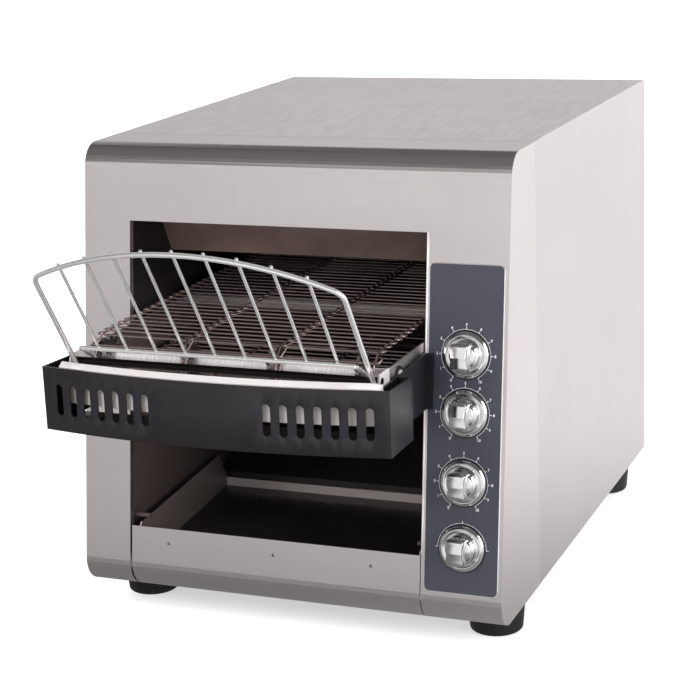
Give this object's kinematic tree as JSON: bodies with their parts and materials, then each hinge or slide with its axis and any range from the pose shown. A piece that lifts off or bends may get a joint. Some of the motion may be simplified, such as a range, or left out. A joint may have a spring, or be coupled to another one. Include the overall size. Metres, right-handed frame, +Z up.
{
  "type": "conveyor toaster",
  "caption": "Countertop conveyor toaster in brushed stainless steel: bread leans on a wire feed rack, rides a wire belt under quartz tubes and drops to a slide-out toast tray below.",
  "frame": {"origin": "on the counter under the feet, at the middle of the machine's outline in X and Y", "axes": "+X to the machine's right as seen by someone standing at its front, +Y to its back, +Z up"},
  "size_m": [0.368, 0.6474, 0.396],
  "materials": {
    "stainless": "vertical brushed stainless sheet",
    "plated_steel": "zinc plated sheet and turned steel",
    "rail_steel": "smooth stainless sheet",
    "reflector": "bright rolled aluminised sheet",
    "dark_tray": "dark glossy coated tray",
    "dark_liner": "heat darkened tunnel sheet",
    "warm_liner": "heat tinted baffle",
    "quartz": "milky quartz tube",
    "ceramic": "unglazed ceramic block",
    "bright_wire": "turned bright steel",
    "chrome_wire": "bright chrome plated wire",
    "belt_wire": "stainless belt wire",
    "chain_steel": "oiled chain",
    "bronze": "sintered bronze",
    "black_paint": "satin charcoal powder coat",
    "motor_grey": "cast gearbox and motor can",
    "plate_grey": "satin dark grey film over sheet, pale dial marks",
    "chrome_knob": "satin chrome knob with bright rim",
    "control_body": "moulded control body",
    "black_plastic": "moulded black plastic",
    "foot_rubber": "moulded rubber"
  },
  "bodies": {
    "housing": {"front_bezel": "stainless", "top_cover": "stainless", "left_side_panel": "stainless", "right_side_panel": "stainless", "rear_panel": "stainless", "base_pan": "plated_steel", "left_inner_wall": "dark_liner", "right_inner_wall": "dark_liner", "discharge_chute": "plated_steel", "upper_reflector": "reflector", "feed_baffle": "warm_liner", "lower_reflector": "reflector", "upper_heater_front": "quartz", "upper_heater_middle": "quartz", "upper_heater_rear": "quartz", "lower_heater_front": "quartz", "lower_heater_rear": "quartz", "heater_holders": "ceramic", "left_rail": "rail_steel", "right_rail": "rail_steel", "tie_rods": "bright_wire", "front_channel": "rail_steel", "rack_rod": "bright_wire", "conveyor_guard": "black_paint", "shaft_bushings": "bronze", "belt": "belt_wire", "drive_chain": "chain_steel", "gear_motor": "motor_grey", "control_plate": "plate_grey", "speed_control": "control_body", "upper_heat_control": "control_body", "lower_heat_control": "control_body", "power_switch": "control_body", "fan_frame": "black_plastic", "fan_guard": "chrome_wire", "cord_gland": "black_plastic", "rear_screws": "bright_wire", "foot_front_left": "foot_rubber", "foot_front_right": "foot_rubber", "foot_rear_left": "foot_rubber", "foot_rear_right": "foot_rubber"},
    "front_axle": {"front_shaft": "bright_wire", "front_sprockets": "plated_steel"},
    "rear_axle": {"rear_shaft": "bright_wire", "rear_sprockets": "plated_steel", "drive_sprocket": "plated_steel"},
    "motor_output": {"motor_pinion": "plated_steel"},
    "fan_wheel": {"fan_rotor": "black_plastic"},
    "rack": {"feed_rack": "chrome_wire"},
    "tray_drawer": {"tray_front": "stainless", "toast_tray": "dark_tray"},
    "speed_dial": {"speed_knob": "chrome_knob", "speed_spindle": "bright_wire"},
    "upper_heat_dial": {"upper_heat_knob": "chrome_knob", "upper_heat_spindle": "bright_wire"},
    "lower_heat_dial": {"lower_heat_knob": "chrome_knob", "lower_heat_spindle": "bright_wire"},
    "power_dial": {"power_knob": "chrome_knob", "power_spindle": "bright_wire"}
  },
  "joints": [
    {"name": "rear_axle_turn", "type": "hinge", "parent": "housing", "child": "rear_axle", "pos_m": [0, 0.22008, 0.2395], "axis": [1, 0, 0], "continuous": true},
    {"name": "front_axle_turn", "type": "hinge", "parent": "housing", "child": "front_axle", "pos_m": [0, -0.20727, 0.2395], "axis": [1, 0, 0], "continuous": true},
    {"name": "motor_turn", "type": "hinge", "parent": "housing", "child": "motor_output", "pos_m": [0.151, 0.22008, 0.1275], "axis": [1, 0, 0], "continuous": true},
    {"name": "fan_turn", "type": "hinge", "parent": "housing", "child": "fan_wheel", "pos_m": [-0.072, 0.29973, 0.085], "axis": [0, 1, 0], "continuous": true},
    {"name": "rack_tip", "type": "hinge", "parent": "housing", "child": "rack", "pos_m": [-0.01, -0.24577, 0.246], "axis": [-1, 0, 0], "range_deg": [0, 45]},
    {"name": "tray_slide", "type": "slide", "parent": "housing", "child": "tray_drawer", "axis": [0, -0.9978, -0.0663], "range_m": [0, 0.16]},
    {"name": "speed_turn", "type": "hinge", "parent": "housing", "child": "speed_dial", "pos_m": [0.151, -0.14891, 0.2426], "axis": [0, -0.9898, 0.1426], "range_deg": [-150, 150]},
    {"name": "upper_heat_turn", "type": "hinge", "parent": "housing", "child": "upper_heat_dial", "pos_m": [0.151, -0.15544, 0.19727], "axis": [0, -0.9898, 0.1426], "range_deg": [-150, 150]},
    {"name": "lower_heat_turn", "type": "hinge", "parent": "housing", "child": "lower_heat_dial", "pos_m": [0.151, -0.16327, 0.14293], "axis": [0, -0.9898, 0.1426], "range_deg": [-150, 150]},
    {"name": "power_turn", "type": "hinge", "parent": "housing", "child": "power_dial", "pos_m": [0.151, -0.1707, 0.09136], "axis": [0, -0.9898, 0.1426], "range_deg": [-90, 90]}
  ],
  "couplings": [
    {"joint": "front_axle_turn", "follows": "rear_axle_turn", "ratio": 1},
    {"joint": "motor_turn", "follows": "rear_axle_turn", "ratio": 1.7778}
  ]
}
